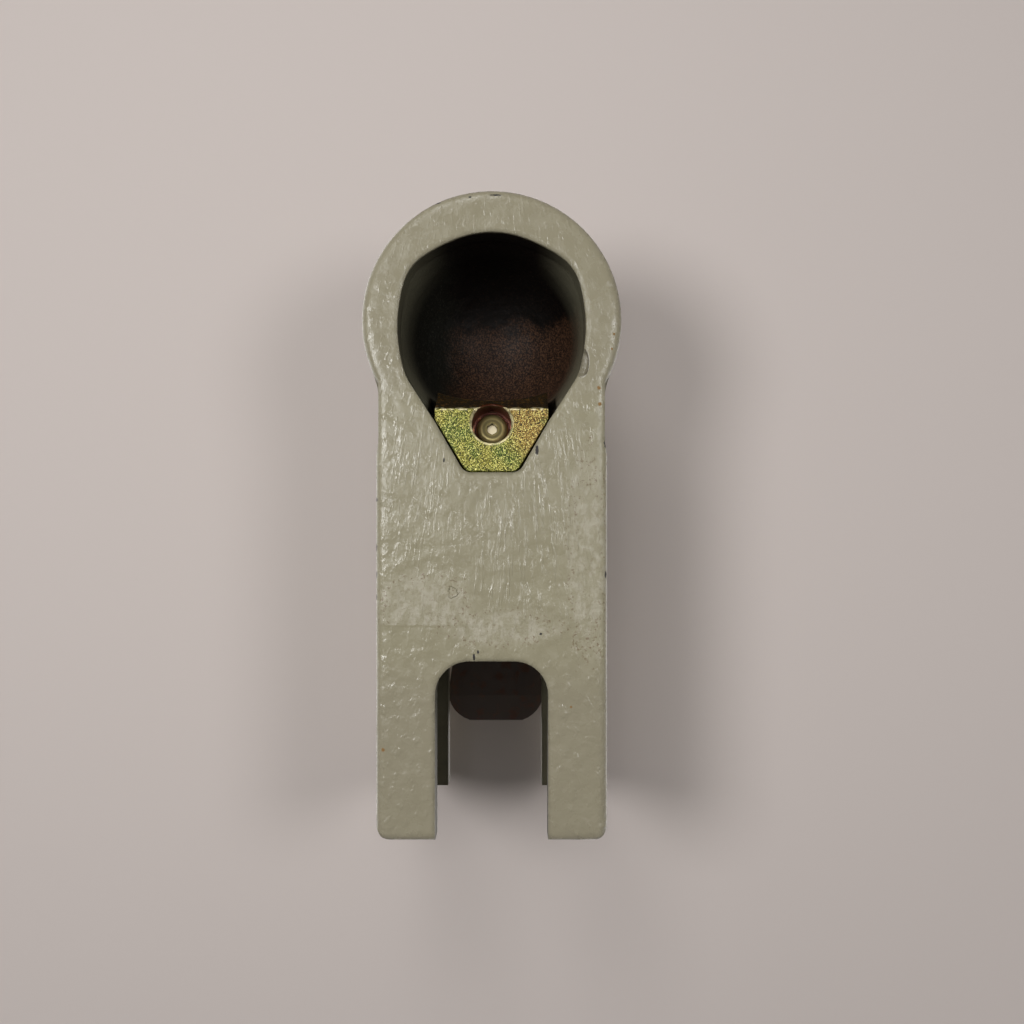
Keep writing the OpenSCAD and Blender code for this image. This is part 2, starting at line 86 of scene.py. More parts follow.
def colour(red, green, blue):
    """Linear colour from an sRGB colour of 0 to 255 per channel."""
    def line(value):
        value /= 255
        return value / 12.92 if value <= 0.04045 else ((value + 0.055) / 1.055) ** 2.4
    return (line(red), line(green), line(blue), 1.0)


slot_front = on_face(SLOT_COLUMN, SLOT_ROW)
print("front of the slot on the face:", [round(v, 1) for v in slot_front])

# %% [markdown]
# Surfaces are mixed from noises, ramps and bumps. They could be wired by hand in
# the shader editor, but a small helper keeps each recipe readable: it makes one
# shader node per call and wires it at once. All lengths in it are millimetres on
# the object, because a maker thinks of a pit as 1 mm wide and not as a fraction of
# a metre.

# %% A bench for mixing surfaces
class Bench:
    def __init__(self, name):
        self.material = bpy.data.materials.new(name)
        self.material.use_nodes = True
        self.tree = self.material.node_tree
        self.tree.nodes.clear()
        self.place = self.scaled(self.make("ShaderNodeTexCoord").outputs["Object"], (1000,) * 3)
        parts = self.make("ShaderNodeSeparateXYZ", Vector=self.place)
        self.x, self.y, self.z = parts.outputs

    def make(self, kind, settings=None, **inputs):
        """A node of this kind; an underscore in a socket's name stands for a space."""
        node = self.tree.nodes.new(kind)
        for key, value in (settings or {}).items():
            setattr(node, key, value)
        for key, value in inputs.items():
            self.feed(node.inputs[key.replace("_", " ")], value)
        return node

    def feed(self, socket, value):
        """Wires a socket to a socket, or writes a plain value into it."""
        if isinstance(value, bpy.types.NodeSocket):
            self.tree.links.new(value, socket)
        else:
            socket.default_value = value

    def scaled(self, vector, factors):
        node = self.make("ShaderNodeVectorMath", {"operation": "MULTIPLY"})
        self.feed(node.inputs[0], vector)
        self.feed(node.inputs[1], factors)
        return node.outputs[0]

    def sum(self, kind, *values, clamp=False):
        """One step of arithmetic, such as ADD or MAXIMUM, on one or two values."""
        node = self.make("ShaderNodeMath", {"operation": kind, "use_clamp": clamp})
        for socket, value in zip(node.inputs, values):
            self.feed(socket, value)
        return node.outputs[0]

    def times(self, first, second):
        return self.sum("MULTIPLY", first, second)

    def either(self, first, second):
        return self.sum("MAXIMUM", first, second)

    def length(self, first, second):
        """Distance from zero of a point with these two coordinates."""
        return self.sum("SQRT", self.sum("ADD", self.times(first, first),
                                         self.times(second, second)))

    def noise(self, size, detail=3.0, stretch=(1, 1, 1), rough=0.55):
        """Noise between 0 and 1 whose lumps are about `size` mm across."""
        where = self.scaled(self.place, tuple(1 / (size * s) for s in stretch))
        return self.make("ShaderNodeTexNoise", Vector=where, Scale=1.0, Detail=detail,
                         Roughness=rough).outputs["Fac"]

    def step(self, value, start, end):
        """0 at start and 1 at end, smooth between; start may be the larger one."""
        node = self.make("ShaderNodeMapRange", {"interpolation_type": "SMOOTHSTEP"},
                         Value=value, From_Min=min(start, end), From_Max=max(start, end),
                         To_Min=float(start > end), To_Max=float(start < end))
        return node.outputs["Result"]

    def between(self, value, start, end, soft=0.3):
        """1 from start to end and 0 outside, with soft ends."""
        return self.times(self.step(value, start - soft, start + soft),
                          self.step(value, end + soft, end - soft))

    def oval(self, middle, half_x, half_y):
        """0 in the middle of an oval on the bottom face, 1 on its outline."""
        return self.length(self.times(self.sum("SUBTRACT", self.x, middle[0]), 1 / half_x),
                           self.times(self.sum("SUBTRACT", self.y, middle[1]), 1 / half_y))

    def mix(self, amount, first, second):
        """Colour between two colours."""
        node = self.make("ShaderNodeMix", {"data_type": "RGBA"})
        for place, value in ((0, amount), (6, first), (7, second)):
            self.feed(node.inputs[place], value)
        return node.outputs[2]

    def blend(self, amount, first, second):
        """Number between two numbers."""
        node = self.make("ShaderNodeMix", {"data_type": "FLOAT"})
        for place, value in ((0, amount), (2, first), (3, second)):
            self.feed(node.inputs[place], value)
        return node.outputs[0]

    def bump(self, height, distance, strength, under):
        """Tilts the normal `under` by a height field that is `distance` mm high."""
        return self.make("ShaderNodeBump", Height=height, Distance=distance / 1000,
                         Strength=strength, Normal=under).outputs[0]

    def soft_edges(self, radius):
        """A normal that rounds every edge by this radius in mm."""
        return self.make("ShaderNodeBevel", {"samples": 6}, Radius=radius / 1000).outputs[0]

    def finish(self, **inputs):
        shader = self.make("ShaderNodeBsdfPrincipled", None, **inputs)
        self.make("ShaderNodeOutputMaterial", Surface=shader.outputs[0])
        return self.material


def dress(name, material):
    """Puts a material on a CAD piece, in the slot it already has."""
    mesh = nodes[name].data
    if not mesh.materials:
        mesh.materials.append(material)
    for i in range(len(mesh.materials)):
        mesh.materials[i] = material


print("bench ready")

# %% [markdown]
# Paint over cast iron. Outside it is a grey-beige brushed on thick. The cup and the
# keeper's pocket are bare, because the ball and the grease rub there, and inside
# the drawbar's socket the paint is thin and dirty and is painted darker as the shade
# that falls in there. Three materials on three groups of faces would give hard
# borders, so one material is used, and each zone is a number between 0 and 1 worked
# out from where a point lies.

# %% Zones of the casting
ROOF = FACE + 70.0
CUP_REACH, SHELL_REACH = 31.0, 29.2
POCKET_BACK, POCKET_FRONT, POCKET_HALF, POCKET_TOP = -62, -20, 18.2, 23
SOCKET_FRONT, SOCKET_HALF = -94.0, 25.6


def cup_zone(b):
    """1 inside the cup and the keeper's pocket, 0 outside, with a ragged edge."""
    # The cup is what lies near the ball's axis, near its centre, and above the rim.
    wobble = b.times(b.noise(3.0), 1.2)
    off_axis = b.length(b.x, b.y)
    inner = b.step(b.sum("ADD", off_axis, wobble), CUP_REACH, CUP_REACH - 0.4)
    ball_off = b.length(off_axis, b.z)
    shell = b.either(b.step(ball_off, SHELL_REACH, SHELL_REACH - 1.0),
                     b.step(b.z, 2.0, 0.0))
    above = b.step(b.sum("ADD", b.z, wobble), FACE + 1.3, FACE + 2.3)
    cup = b.times(b.times(inner, shell), above)
    # The pocket is a box behind the cup, as wide as the keeper.
    pocket = b.times(b.between(b.x, POCKET_BACK, POCKET_FRONT),
                     b.between(b.y, -POCKET_HALF, POCKET_HALF, 0.05))
    pocket = b.times(pocket, b.between(b.z, FACE + 0.9, POCKET_TOP))
    return b.sum("MAXIMUM", cup, pocket, clamp=True)


def socket_zone(b):
    """1 inside the drawbar's socket and on the walls of its slots, 0 outside."""
    inside = b.times(b.step(b.x, SOCKET_FRONT, SOCKET_FRONT - 1.5),
                     b.between(b.y, -SOCKET_HALF, SOCKET_HALF, 0.2))
    return b.times(inside, b.between(b.z, FACE + 1.4, ROOF - 1.0, 0.5))


print(f"roof of the socket at {ROOF:.1f} mm")

# %% [markdown]
# The marks of use are few and each has its place, so they are a list and not a
# noise: a column and a row in the photograph, then half the length along the head
# and half the width across it, in millimetres. A noise then eats into the outline,
# because a chip in paint is never an oval. They fade out a few millimetres up the
# sides.

# %% Chips, rust and rough places
CHIPS = [(474, 657, 0.9, 0.35), (478, 652, 0.5, 0.3), (437, 202, 0.35, 1.1),
         (496, 195, 0.25, 1.6), (470, 197, 0.25, 0.5), (584, 224, 0.3, 1.2),
         (448, 442, 0.5, 0.45), (444, 460, 0.6, 0.25), (537, 450, 1.3, 0.5),
         (606, 443, 1.3, 0.5), (606, 575, 0.9, 0.3), (541, 634, 0.35, 0.4),
         (375, 548, 0.9, 0.5), (375, 575, 1.1, 0.5), (375, 598, 0.8, 0.5),
         (376, 500, 0.5, 0.4)]
RUST = [(383, 750, 0.5, 0.5), (599, 388, 0.5, 0.5), (600, 404, 0.5, 0.5),
        (571, 707, 0.3, 0.3), (614, 334, 0.4, 0.3), (612, 349, 0.4, 0.3)]
CRUMBLED_LEFT = (425, 607, 8.5, 12.0)
CRUMBLED_MIDDLE = (500, 628, 4.5, 15.0)
CRUMBLED_RIGHT = (588, 560, 26.0, 5.0)
CRUMBLED_END = -85.2
PAINT_LUMP = on_face(453, 593)
NICK, NICK_HALF_X, NICK_HALF_Y = on_face(581.5, 362.5), 4.4, 2.3


def spots(b, places):
    """1 in small ragged spots near the bottom face."""
    ragged = b.times(b.sum("SUBTRACT", b.noise(0.7, 4), 0.5), 1.4)
    total = 0.0
    for column, row, half_x, half_y in places:
        off = b.oval(on_face(column, row), half_x, half_y)
        total = b.either(total, b.step(b.sum("ADD", off, ragged), 1.15, 0.85))
    return b.times(total, b.step(b.z, FACE + 3.0, FACE + 1.4))


def patch(b, column, row, half_x, half_y, soft=0.45):
    """1 in a soft-edged oval on the bottom face, with a wavy outline."""
    wave = b.times(b.sum("SUBTRACT", b.noise(4.0, 4), 0.5), 1.2)
    off = b.oval(on_face(column, row), half_x, half_y)
    return b.step(b.sum("ADD", off, wave), 1 + soft, 1 - soft)


def rough_places(b, face):
    """1 where the mould had crumbled, in three places behind the keeper."""
    left = b.times(patch(b, *CRUMBLED_LEFT), b.step(b.x, CRUMBLED_END, CRUMBLED_END + 0.6))
    other = b.either(patch(b, *CRUMBLED_MIDDLE), patch(b, *CRUMBLED_RIGHT))
    rough = b.either(left, other)
    return b.sum("MULTIPLY", rough, face, clamp=True)


print("chips:", len(CHIPS), "rust spots:", len(RUST))

# %% [markdown]
# Brush strokes are a noise stretched along the stroke. To make them fan out, the
# sideways coordinate is divided by a number that grows towards the socket, so
# that each stroke drifts outwards. Only the crests of the noise are kept: paint
# pulls together into thin ridges and leaves calm stretches between them.

# %% Brush strokes
FAN_PER_MM = -0.009


def strokes(b, width, length, from_level, to_level):
    """Crests between 0 and 1, `width` mm apart and `length` mm long."""
    fan = b.sum("DIVIDE", b.y, b.sum("ADD", 1.0, b.times(b.x, FAN_PER_MM)))
    bend = b.times(b.noise(14.0, 2), 1.5)
    across = b.times(b.sum("ADD", fan, bend), 1 / width)
    where = b.make("ShaderNodeCombineXYZ", X=b.times(b.x, 1 / length), Y=across,
                   Z=b.times(b.z, 1 / length)).outputs[0]
    level = b.make("ShaderNodeTexNoise", Vector=where, Scale=1.0, Detail=2.0,
                   Roughness=0.5).outputs["Fac"]
    return b.step(level, from_level, to_level)


print(f"strokes spread by {-FAN_PER_MM * 1000:.0f} percent in 10 mm")

# %% [markdown]
# Colour and height share some noises: the colour is painted paler on the crests, as
# painted highlight, and darker in the hollows, as painted shade.
# Each could be made again where it is needed, but then the material would carry the
# same nodes twice, so every shared noise and zone is made once and kept by name.

# %% What colour and height have in common
def survey(b):
    """All zones and noises of the casting, by name."""
    s = SimpleNamespace()
    s.cup = cup_zone(b)
    s.socket = socket_zone(b)
    s.face = b.step(b.z, FACE + 3.5, FACE + 1.0)
    s.head_end = b.step(b.x, -24, -14)
    s.chip = spots(b, CHIPS)
    s.rust = spots(b, RUST)
    s.rough = rough_places(b, s.face)
    s.peel = b.noise(3.4, 2)
    s.fine = b.noise(0.4, 3)
    s.nick_off = b.oval(NICK, NICK_HALF_X, NICK_HALF_Y)
    return s


print("nick at", [round(v, 1) for v in NICK], "mm")

# %% [markdown]
# A paint film rounds off every small height below it, so the bumps are made of
# few, soft sizes: hollows of a thumb's width, a peel like an orange's, a fine
# grain, the strokes, and rough places where the mould had crumbled. Real
# displacement would need millions of faces for heights of a tenth of a
# millimetre, so these are bumps, each laid over the one before.

# %% Heights in the paint
NECK_BACK, NECK_FRONT, NECK_LEFT, NECK_RIGHT = -90, -30, -30, 32
BOLD_STROKES = [(532, 555, 26.0, 12.0), (402, 500, 12.0, 6.0)]
BOLD_SOFT = 0.6


def paint_heights(b, s):
    """The casting's normal, from soft edges up to the finest grain."""
    calm = b.step(b.noise(17.0, 2), 0.40, 0.62)
    crumb = b.noise(1.5, 5, rough=0.65)

    normal = b.soft_edges(2.6)
    nick_floor = b.step(s.nick_off, 0.6, 1.05)
    normal = b.bump(nick_floor, 0.5, b.blend(s.cup, s.face, 0.0), normal)
    normal = b.bump(b.noise(11.0, 2), 1.1, 0.7, normal)
    peel_power = b.blend(s.head_end, b.blend(calm, 0.35, 0.65), 0.4)
    normal = b.bump(s.peel, 0.55, b.blend(s.cup, peel_power, 0.5), normal)
    grain_power = b.blend(s.cup, b.blend(calm, 0.15, 0.4), 0.9)
    normal = b.bump(b.noise(1.1, 3, rough=0.5), 0.16, grain_power, normal)
    normal = stroke_heights(b, s, normal)
    normal = b.bump(crumb, 0.5, b.blend(s.rough, 0.0, 0.6), normal)

    lump_off = b.length(b.sum("SUBTRACT", b.x, PAINT_LUMP[0]),
                        b.sum("SUBTRACT", b.y, PAINT_LUMP[1]))
    lump_off = b.sum("ADD", lump_off, b.times(crumb, 4.0))
    lump = b.times(b.step(lump_off, 3.7, 3.2), s.face)
    normal = b.bump(lump, 0.4, 0.8, normal)
    ragged_x = b.sum("ADD", b.x, b.noise(5.0))
    seam = b.times(b.step(ragged_x, CRUMBLED_END, CRUMBLED_END + 0.9), b.step(b.y, 3, -8))
    normal = b.bump(seam, 0.10, b.times(s.face, 0.7), normal)
    return b.bump(s.fine, 0.04, b.blend(s.cup, 0.3, 1.0), normal)


def stroke_heights(b, s, normal):
    """Long fanned strokes behind the keeper, short faint ones elsewhere."""
    neck = b.times(b.between(b.x, NECK_BACK, NECK_FRONT, 7),
                   b.between(b.y, NECK_LEFT, NECK_RIGHT, 4))
    neck = b.times(neck, s.face)
    bold = b.either(*(patch(b, *place, BOLD_SOFT) for place in BOLD_STROKES))
    thin = b.times(strokes(b, 0.6, 9.0, 0.51, 0.70), b.blend(bold, 0.55, 1.0))
    broad = b.times(strokes(b, 1.4, 14.0, 0.45, 0.75), 0.22)
    normal = b.bump(b.either(thin, broad), 0.12, b.blend(neck, 0.0, 1.0), normal)

    elsewhere = b.blend(b.either(neck, s.cup), b.blend(s.head_end, 0.5, 0.3), 0.1)
    elsewhere = b.sum("MULTIPLY", elsewhere, b.step(b.z, -6, -16), clamp=True)
    elsewhere = b.either(elsewhere, b.blend(s.cup, 0.2, 0.0))
    return b.bump(strokes(b, 1.3, 3.5, 0.52, 0.72), 0.21, elsewhere, normal)


print("heights ready")

# %% [markdown]
# Paint of one pot is never one colour, and its tone drifts a little from place to
# place. Over that, the colour is painted paler where the paint stands high, as a
# painted highlight, and darker where it lies low, as painted shade. It also turns
# darker towards the socket's end and a little darker on the head. All this could be
# painted on an image by hand, but a mix of noises has no seams and stays sharp up
# close. The tints are small. The larger changes are dirt, a pale smear and brown
# crumbs in the rough places, and painted shade: the nick at the cup's mouth is
# painted darker with a dark shadow edge, and the socket is grimy and painted darker
# as the shade inside it.

# %% Colours of the paint
def paint_colours(b, s):
    paint = b.mix(b.noise(30.0, 2), colour(138, 132, 108), colour(147, 141, 116))
    # painted highlight on the paint's crests and painted shade in its hollows
    high = b.times(b.step(s.peel, 0.5, 0.72), 0.14)
    paint = b.mix(high, paint, colour(168, 162, 142))
    low = b.times(b.step(s.peel, 0.48, 0.3), 0.14)
    paint = b.mix(low, paint, colour(130, 123, 101))
    # darker towards the socket's end, and a little darker on the head
    paint = b.mix(b.times(b.step(b.x, -88, -110), 0.5), paint, colour(134, 127, 109))
    paint = b.mix(b.times(s.head_end, 0.35), paint, colour(134, 127, 108))

    smear = b.step(b.noise(2.6, 5, stretch=(1.6, 1, 1)), 0.44, 0.58)
    paint = b.mix(b.times(b.times(s.rough, smear), 0.45), paint, colour(176, 170, 153))
    rim_of_rough = b.between(s.rough, 0.12, 0.75, 0.1)
    crumbs = b.times(b.blend(rim_of_rough, b.times(s.rough, 0.35), 1.0),
                     b.step(b.noise(0.9, 5, rough=0.7), 0.44, 0.38))
    paint = b.mix(b.times(crumbs, 0.8), paint, colour(104, 86, 58))

    # painted shade: the nick darker, with a dark shadow edge along one side
    nick = b.times(b.step(s.nick_off, 1.02, 0.92), s.face)
    paint = b.mix(b.times(nick, 0.75), paint, colour(104, 98, 80))
    nick_shadow_edge = b.times(b.between(s.nick_off, 0.84, 0.96, 0.05), s.face)
    nick_shadow_edge = b.times(nick_shadow_edge, b.step(b.y, NICK[1] + 0.6, NICK[1] + 1.2))
    paint = b.mix(b.times(nick_shadow_edge, 0.8), paint, colour(66, 60, 46))
    side_dirt = b.times(b.step(b.noise(2.4, 5), 0.63, 0.72), b.step(b.z, -19, -17))
    paint = b.mix(b.times(side_dirt, 0.35), paint, colour(104, 90, 68))
    # grime inside the socket, and painted shade that falls there
    socket_grime_and_shade = b.mix(b.noise(5.0, 4), colour(52, 50, 36), colour(84, 80, 62))
    return b.mix(b.times(s.socket, 0.9), paint, socket_grime_and_shade)


print("paint colours ready")

# %% [markdown]
# The cup is bare iron with old grease. Where the ball presses it is a warm brown.
# The front half is painted nearly black as the shade that falls there, one side is
# painted a lighter grey as a painted sheen, and towards the mouth the sides are
# paler, partly paint carried over the edge and partly a painted highlight. A single
# dark colour would do from far off, but the camera looks straight into the cup, so
# the zones are there with the cast grain in all of them.

# %% Iron in the cup
def iron_colours(b):
    speck = b.noise(0.55, 4, rough=0.75)
    grain = b.step(speck, 0.5, 0.7)
    iron = b.mix(b.step(speck, 0.44, 0.64), colour(28, 18, 12), colour(88, 62, 45))
    iron = b.mix(b.times(b.step(speck, 0.5, 0.36), 0.8), iron, colour(16, 11, 9))

    # painted shade: the front half of the cup nearly black
    painted_front_shade = b.mix(grain, colour(7, 5, 4), colour(34, 26, 20))
    front_half = b.sum("ADD", b.x, b.times(b.noise(7.0, 5), 18.0))
    iron = b.mix(b.step(front_half, 13.0, 19.0), iron, painted_front_shade)

    # painted sheen: one side a lighter grey
    painted_side_sheen = b.mix(grain, colour(22, 22, 18), colour(56, 56, 48))
    one_side = b.sum("ADD", b.y, b.times(b.noise(5.0, 4), 8.0))
    iron = b.mix(b.step(one_side, -4.0, -14.0), iron, painted_side_sheen)

    # paler sides towards the mouth: partly paint carried over the edge, partly painted
    # highlight
    wall = b.times(b.step(b.length(b.x, b.y), 24.0, 28.0),
                   b.step(b.length(b.y, 0.0), 12.0, 24.0))
    return b.mix(b.times(wall, 0.9), iron, colour(104, 101, 84))


print("iron colours ready")

# %% [markdown]
# Now the layers come together on the casting. The paint has a soft shine that
# changes a little from place to place, and bare iron, rust, chips and dirt are all
# duller than the paint around them. One roughness for all would be simpler, but it
# is the change in shine that tells the eye what is paint and what is not.

# %% The painted casting
def painted_casting():
    b = Bench("cast_paint")
    s = survey(b)
    tone = b.mix(s.cup, paint_colours(b, s), iron_colours(b))
    tone = b.mix(s.chip, tone, colour(26, 24, 22))
    tone = b.mix(b.times(s.rust, 0.85), tone, colour(122, 84, 16))

    gloss = b.blend(b.step(b.noise(4.0, 3), 0.35, 0.65), 0.20, 0.33)
    gloss = b.blend(s.rough, gloss, 0.45)
    gloss = b.blend(s.cup, gloss, b.blend(s.fine, 0.42, 0.65))
    gloss = b.blend(b.either(s.chip, s.rust), gloss, 0.7)
    gloss = b.blend(s.socket, gloss, 0.6)
    return b.finish(Base_Color=tone, Roughness=gloss, Normal=paint_heights(b, s),
                    Specular_IOR_Level=b.blend(b.either(s.cup, s.socket), 0.55, 0.16))


dress("housing", painted_casting())
print("casting painted")

# %% [markdown]
# The keeper has a round bore for its screw, and the bore leans. Both the keeper
# and the screw are coloured in rings around that leaning axis, so the distance
# from it is worked out once here. The numbers are the construction model's: where
# the bore opens in the flat face, how far it leans, and where the front edge is.

# %% Distance from the bore's axis
BORE_BACK, BORE_LEAN = 27.5, 7.0
KEEPER_FRONT = -23.5


def around_bore(b):
    """Depth above the bottom face, and distance from the bore's axis, in mm."""
    depth = b.sum("SUBTRACT", b.z, FACE)
    shift = b.times(depth, math.tan(math.radians(BORE_LEAN)))
    off = b.length(b.sum("SUBTRACT", b.sum("ADD", b.x, shift), -BORE_BACK), b.y)
    return depth, off


print(f"bore opens {BORE_BACK} mm behind the ball and leans by {BORE_LEAN} degrees")

# %% [markdown]
# The keeper is plated in the yellow-green way that zinc takes after its last bath.
# The film is thinner than a wave of light in places, so it drifts from green
# over gold to copper, and the cast grain breaks it into dark specks and into bright
# specks that are painted glints. A film can also be set as a real thin layer in the
# shader, but its colours then change with the angle, and here they have to stay
# where the photograph shows them. The slope towards the ball is painted dark with
# streaks of painted golden highlight, and the front edge is rubbed pale.

# %% Plating on the keeper's faces
def plating_colours(b, speck, drift):
    gold_side = b.sum("ADD", b.times(b.y, 0.12),
                      b.times(b.sum("ADD", b.x, 32.0), 0.10))
    copper = b.times(b.step(gold_side, 0.1, 1.3), b.step(drift, 0.3, 0.5))
    tone = b.mix(b.step(drift, 0.3, 0.7), colour(84, 112, 20), colour(146, 140, 42))
    tone = b.mix(b.times(copper, 0.75), tone, colour(158, 110, 50))
    # painted glints: the brightest specks
    tone = b.mix(b.times(b.step(speck, 0.54, 0.62), 0.95), tone, colour(232, 226, 140))
    tone = b.mix(b.times(b.step(speck, 0.50, 0.43), 0.95), tone, colour(24, 28, 6))

    # the slope towards the ball: dark, with streaks of painted golden highlight
    painted_glint_streak = b.step(b.noise(0.9, 4, rough=0.7), 0.5, 0.68)
    slope = b.mix(painted_glint_streak, colour(30, 24, 12), colour(132, 98, 44))
    tone = b.mix(b.step(b.z, FACE + 1.1, FACE + 0.7), slope, tone)
    rubbed = b.times(b.between(b.x, KEEPER_FRONT - 0.35, KEEPER_FRONT + 0.6, 0.15),
                     b.step(b.noise(1.6, 3), 0.42, 0.56))
    rubbed = b.times(rubbed, b.step(b.z, FACE + 1.6, FACE + 1.0))
    return b.mix(b.times(rubbed, 0.9), tone, colour(226, 216, 172))


print("plating ready")

# %% [markdown]
# Down in the bore the wall is painted a dark amber brown, as the shade that falls on
# the plating there. The rim of the bore is rubbed pale. At the bottom the seat of the
# screw is painted darker as shade, and a thin copper-pink painted highlight runs
# round its corner.

# %% The keeper
def bore_colours(b, tone, drift, depth, off, bore):
    # painted shade: the bore's wall in a dark amber brown
    wall = b.mix(drift, colour(66, 24, 10), colour(98, 44, 18))
    wall = b.mix(b.step(b.noise(2.0), 0.6, 0.72), wall, colour(130, 78, 46))
    tone = b.mix(bore, tone, wall)
    ring = b.times(b.between(off, 5.5, 6.3, 0.12), b.step(depth, 1.8, 1.5))
    ring = b.times(ring, b.blend(b.step(b.noise(2.2, 3), 0.4, 0.6), 0.35, 0.95))
    tone = b.mix(ring, tone, colour(232, 222, 172))
    # painted shade at the seat of the screw
    seat_shade = b.times(b.between(depth, 10.9, 11.35, 0.1), b.step(off, 5.9, 5.7))
    tone = b.mix(b.times(seat_shade, 0.7), tone, colour(58, 32, 18))
    # painted highlight: a thin copper-pink line round the seat's corner
    seat_highlight = b.times(seat_shade, b.step(off, 5.25, 5.45))
    return b.mix(seat_highlight, tone, colour(214, 150, 116))


def plated_keeper():
    b = Bench("keeper_plating")
    drift = b.noise(7.0, 3)
    speck = b.noise(0.3, 2, rough=0.6)
    depth, off = around_bore(b)
    bore = b.times(b.step(off, 6.4, 6.1), b.step(depth, 1.3, 1.7))
    tone = plating_colours(b, speck, drift)
    tone = bore_colours(b, tone, drift, depth, off, bore)
    lump = b.noise(1.1, 2)
    normal = b.bump(lump, 0.3, b.blend(bore, 0.8, 0.1), b.soft_edges(0.45))
    normal = b.bump(speck, 0.3, b.blend(bore, 1.0, 0.1), normal)
    return b.finish(Base_Color=tone, Metallic=0.5, Roughness=b.blend(speck, 0.22, 0.45),
                    Normal=normal, Specular_IOR_Level=0.6)


dress("keeper", plated_keeper())
print("keeper done")

# %% [markdown]
# The screw is the only small part that the photograph shows: dull olive plating,
# with a paler rim that is a painted highlight, and the bottom of its key hole bright
# as a painted reflection. Rings of colour around the bore's axis are enough, because
# the shape of the head is in the solid.

# %% The screw in the bore
def screw_steel():
    b = Bench("screw_steel")
    off = around_bore(b)[1]
    # dull olive plating, with a painted highlight as the paler outer rim
    tone = b.mix(b.step(off, 2.6, 3.3), colour(96, 88, 54), colour(178, 166, 112))
    tone = b.mix(b.between(off, 1.5, 2.1, 0.2), tone, colour(120, 110, 68))
    # painted reflection: the bright bottom of the key hole
    tone = b.mix(b.step(off, 1.5, 1.2), tone, colour(232, 222, 190))
    return b.finish(Base_Color=tone, Metallic=0.6, Roughness=0.3)


dress("keeper_screw", screw_steel())
print("screw done")

# %% [markdown]
# The other small metal parts sit in the casting or above it. They share one
# recipe: a fine grain, some dulling, and a plated or bare base colour, so the list
# below holds only what differs.

# %% Rod, spring, bush and pins
METALS = [("draw_rod", "rod_steel", (150, 148, 144), (104, 100, 94), 0.3),
          ("lift_pin", "pin_steel", (176, 175, 172), (128, 126, 122), 0.25),
          ("spring", "spring_steel", (74, 72, 70), (48, 46, 44), 0.35),
          ("guide_bush", "bush_bronze", (196, 160, 92), (140, 104, 54), 0.3),
          ("pivot_pin", "pivot_zinc", (186, 187, 186), (140, 140, 136), 0.3),
          ("pivot_washer", "washer_zinc", (180, 181, 180), (134, 134, 130), 0.35),
          ("pivot_ring", "ring_steel", (70, 68, 66), (44, 42, 40), 0.35)]


def metal(name, clean, dull, roughness):
    b = Bench(name)
    wear = b.noise(3.0, 3)
    normal = b.bump(b.noise(0.5, 3), 0.02, 0.6, b.soft_edges(0.25))
    tone = b.mix(b.step(wear, 0.35, 0.75), colour(*clean), colour(*dull))
    return b.finish(Base_Color=tone, Metallic=0.95, Normal=normal,
                    Roughness=b.blend(wear, roughness - 0.08, roughness + 0.12))


for piece, name, clean, dull, roughness in METALS:
    dress(piece, metal(name, clean, dull, roughness))
print("small metal parts done:", len(METALS))

# %% [markdown]
# The lever is handled with greasy gloves, and its dark paint is worn through to
# brown iron in blotches. A mask of the worn edges could place the wear exactly, but
# the photograph shows only the lever's dark end, deep in the slot, so a noise is
# enough.

# %% The lever
def worn_lever():
    b = Bench("lever_iron")
    wear = b.step(b.noise(4.0, 4), 0.5, 0.68)
    tone = b.mix(b.noise(12.0), colour(48, 41, 36), colour(64, 52, 43))
    tone = b.mix(b.times(wear, 0.5), tone, colour(84, 50, 34))
    normal = b.bump(b.noise(1.4, 4), 0.1, 0.6, b.soft_edges(0.8))
    return b.finish(Base_Color=tone, Roughness=b.blend(wear, 0.38, 0.65), Normal=normal,
                    Specular_IOR_Level=0.2)


dress("lever", worn_lever())
print("lever done")

# %% [markdown]
# The head stands on its flat face, and the photograph was taken from the side of
# that face. So there are two plain sheets: a large floor under the head, for every
# view from above, and a smaller wall behind the lever, for the view from below. Each
# shows itself only to a camera on its own side, and all other rays pass through, so
# a sheet never stands in a lamp's way. A sheet further off would need no such
# trick, but then it would not catch the head's shadow. Near the head a sheet takes
# light and shadow, and further out it turns into one even tone.

# %% Two plain sheets
SHEET = colour(205, 195, 190)
EVEN_TONE = 0.85
EVEN_FROM, EVEN_TO = 220.0, 800.0  # millimetres from the ball's centre
MIDDLE_X = -0.053  # metres, the middle of the head's length
FLOOR_REACH, WALL_REACH = 3.0, 0.24  # metres to each side
GAP = 0.0005  # metres between a sheet and the piece next to it


def mix_shaders(b, amount, first, second):
    node = b.make("ShaderNodeMixShader")
    for socket, value in zip(node.inputs, (amount, first.outputs[0], second.outputs[0])):
        b.feed(socket, value)
    return node


def sheet_material(name):
    b = Bench(name)
    lit = b.make("ShaderNodeBsdfDiffuse", Color=SHEET)
    even = b.make("ShaderNodeEmission", Color=SHEET, Strength=EVEN_TONE)
    far = b.step(b.length(b.length(b.x, b.y), b.z), EVEN_FROM, EVEN_TO)
    sheet = mix_shaders(b, far, lit, even)
    back = b.make("ShaderNodeNewGeometry").outputs["Backfacing"]
    camera_ray = b.make("ShaderNodeLightPath").outputs["Is Camera Ray"]
    seen = b.times(camera_ray, b.sum("SUBTRACT", 1.0, back))
    clear = b.make("ShaderNodeBsdfTransparent")
    shader = mix_shaders(b, seen, clear, sheet)
    b.make("ShaderNodeOutputMaterial", Surface=shader.outputs[0])
    return b.material


